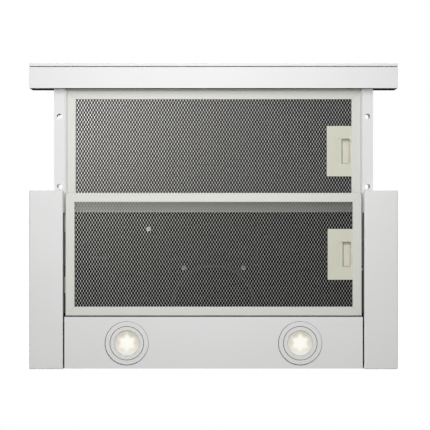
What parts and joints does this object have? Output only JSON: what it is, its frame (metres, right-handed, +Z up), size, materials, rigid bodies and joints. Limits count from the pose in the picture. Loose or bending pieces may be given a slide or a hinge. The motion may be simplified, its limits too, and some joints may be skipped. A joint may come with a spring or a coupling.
{
  "type": "telescopic range hood",
  "caption": "Telescopic built-in range hood with pull-out drawer, perforated grease filters with finger latches, round lamps, push buttons, blower and duct collar.",
  "frame": {"origin": "on the plane of the underside, below the middle of the hood with its drawer out", "axes": "+X to the user's right across the hood, -Y towards the user, +Z up to the duct"},
  "size_m": [0.598, 0.496, 0.238],
  "materials": {
    "white_steel": "satin powder coat",
    "zinc_steel": "zinc-coated sheet",
    "dark_steel": "matt dark coat",
    "slide_steel": "rolled and zinc-plated",
    "ball_steel": "polished",
    "anodised_frame": "satin anodised",
    "perforated_sheet": "perforated",
    "latch_plastic": "fine moulded",
    "black_plastic": "moulded",
    "grey_plastic": "moulded",
    "bezel_metal": "satin",
    "lens_glass": "frosted",
    "reflector": "bright",
    "board": "solder mask",
    "motor_metal": "die cast",
    "capacitor_can": "smooth",
    "screw_steel": "plated",
    "magnet_metal": "nickel-plated",
    "button_plastic": "satin moulded"
  },
  "bodies": {
    "casing": {"blower_roof": "black_plastic", "blower_volute": "black_plastic", "body_front_panel": "zinc_steel", "body_wrap": "zinc_steel", "cable_gland": "black_plastic", "capacitor": "capacitor_can", "casing_screws": "screw_steel", "control_board": "board", "control_box": "grey_plastic", "control_box_lid": "grey_plastic", "duct_collar": "black_plastic", "flap_pin": "slide_steel", "inlet_ring": "black_plastic", "inner_deck": "dark_steel", "lamp_bezel_left": "bezel_metal", "lamp_bezel_right": "bezel_metal", "lamp_body_left": "reflector", "lamp_body_right": "reflector", "lamp_lens_left": "lens_glass", "lamp_lens_right": "lens_glass", "lamp_panel": "white_steel", "motor": "motor_metal", "rail_outer_left": "slide_steel", "rail_outer_right": "slide_steel", "reed_switch": "black_plastic", "top_plate": "zinc_steel", "wing_left": "white_steel", "wing_right": "white_steel"},
    "drawer": {"drawer_arm_left": "white_steel", "drawer_arm_right": "white_steel", "drawer_cover": "dark_steel", "rear_crossbar": "zinc_steel", "rail_inner_left": "slide_steel", "rail_inner_right": "slide_steel", "rail_spacers": "slide_steel", "fascia_front": "white_steel", "fascia_channel": "white_steel", "fascia_rear_cover": "black_plastic", "switch_board": "board", "switch_magnet": "magnet_metal", "drawer_screws": "screw_steel"},
    "left_ball_cage": {"ball_cage_left": "ball_steel"},
    "right_ball_cage": {"ball_cage_right": "ball_steel"},
    "body_filter": {"body_filter_frame": "anodised_frame", "body_filter_mesh": "perforated_sheet", "body_filter_latch_housing": "latch_plastic"},
    "drawer_filter": {"drawer_filter_frame": "anodised_frame", "drawer_filter_mesh": "perforated_sheet", "drawer_filter_latch_housing": "latch_plastic"},
    "body_filter_latch": {"body_filter_latch_slider": "latch_plastic"},
    "drawer_filter_latch": {"drawer_filter_latch_slider": "latch_plastic"},
    "impeller_wheel": {"impeller": "grey_plastic"},
    "front_flap": {"flap_front": "black_plastic"},
    "rear_flap": {"flap_rear": "black_plastic"},
    "push_button_1": {"button_1": "button_plastic"},
    "push_button_2": {"button_2": "button_plastic"},
    "push_button_3": {"button_3": "button_plastic"},
    "push_button_4": {"button_4": "button_plastic"},
    "push_button_5": {"button_5": "button_plastic"}
  },
  "joints": [
    {"name": "drawer_slide", "type": "slide", "parent": "casing", "child": "drawer", "axis": [0, 1, 0], "range_m": [0, 0.165]},
    {"name": "left_ball_cage_slide", "type": "slide", "parent": "casing", "child": "left_ball_cage", "axis": [0, 1, 0], "range_m": [0, 0.0825]},
    {"name": "right_ball_cage_slide", "type": "slide", "parent": "casing", "child": "right_ball_cage", "axis": [0, 1, 0], "range_m": [0, 0.0825]},
    {"name": "body_filter_swing", "type": "hinge", "parent": "casing", "child": "body_filter", "pos_m": [-0.2445, 0.06165, 0.006], "axis": [0, 1, 0], "range_deg": [0, 22]},
    {"name": "drawer_filter_swing", "type": "hinge", "parent": "drawer", "child": "drawer_filter", "pos_m": [-0.2423, -0.10665, 0.0235], "axis": [0, 1, 0], "range_deg": [0, 22]},
    {"name": "body_filter_latch_slide", "type": "slide", "parent": "body_filter", "child": "body_filter_latch", "axis": [-1, 0, 0], "range_m": [0, 0.006], "stiffness_N_per_m": 400},
    {"name": "drawer_filter_latch_slide", "type": "slide", "parent": "drawer_filter", "child": "drawer_filter_latch", "axis": [-1, 0, 0], "range_m": [0, 0.006], "stiffness_N_per_m": 400},
    {"name": "impeller_spin", "type": "hinge", "parent": "casing", "child": "impeller_wheel", "pos_m": [0, 0.1494, 0.12], "axis": [0, 0, 1], "continuous": true},
    {"name": "front_flap_swing", "type": "hinge", "parent": "casing", "child": "front_flap", "pos_m": [0, 0.036, 0.216], "axis": [-1, 0, 0], "range_deg": [0, 75]},
    {"name": "rear_flap_swing", "type": "hinge", "parent": "casing", "child": "rear_flap", "pos_m": [0, 0.036, 0.216], "axis": [1, 0, 0], "range_deg": [0, 75]},
    {"name": "button_1_press", "type": "slide", "parent": "drawer", "child": "push_button_1", "axis": [0, 1, 0], "range_m": [0, 0.0012], "stiffness_N_per_m": 500},
    {"name": "button_2_press", "type": "slide", "parent": "drawer", "child": "push_button_2", "axis": [0, 1, 0], "range_m": [0, 0.0012], "stiffness_N_per_m": 500},
    {"name": "button_3_press", "type": "slide", "parent": "drawer", "child": "push_button_3", "axis": [0, 1, 0], "range_m": [0, 0.0012], "stiffness_N_per_m": 500},
    {"name": "button_4_press", "type": "slide", "parent": "drawer", "child": "push_button_4", "axis": [0, 1, 0], "range_m": [0, 0.0012], "stiffness_N_per_m": 500},
    {"name": "button_5_press", "type": "slide", "parent": "drawer", "child": "push_button_5", "axis": [0, 1, 0], "range_m": [0, 0.0012], "stiffness_N_per_m": 500}
  ],
  "couplings": [
    {"joint": "left_ball_cage_slide", "follows": "drawer_slide", "ratio": 0.5},
    {"joint": "right_ball_cage_slide", "follows": "drawer_slide", "ratio": 0.5},
    {"joint": "drawer_filter_swing", "follows": "body_filter_swing", "ratio": 1}
  ]
}
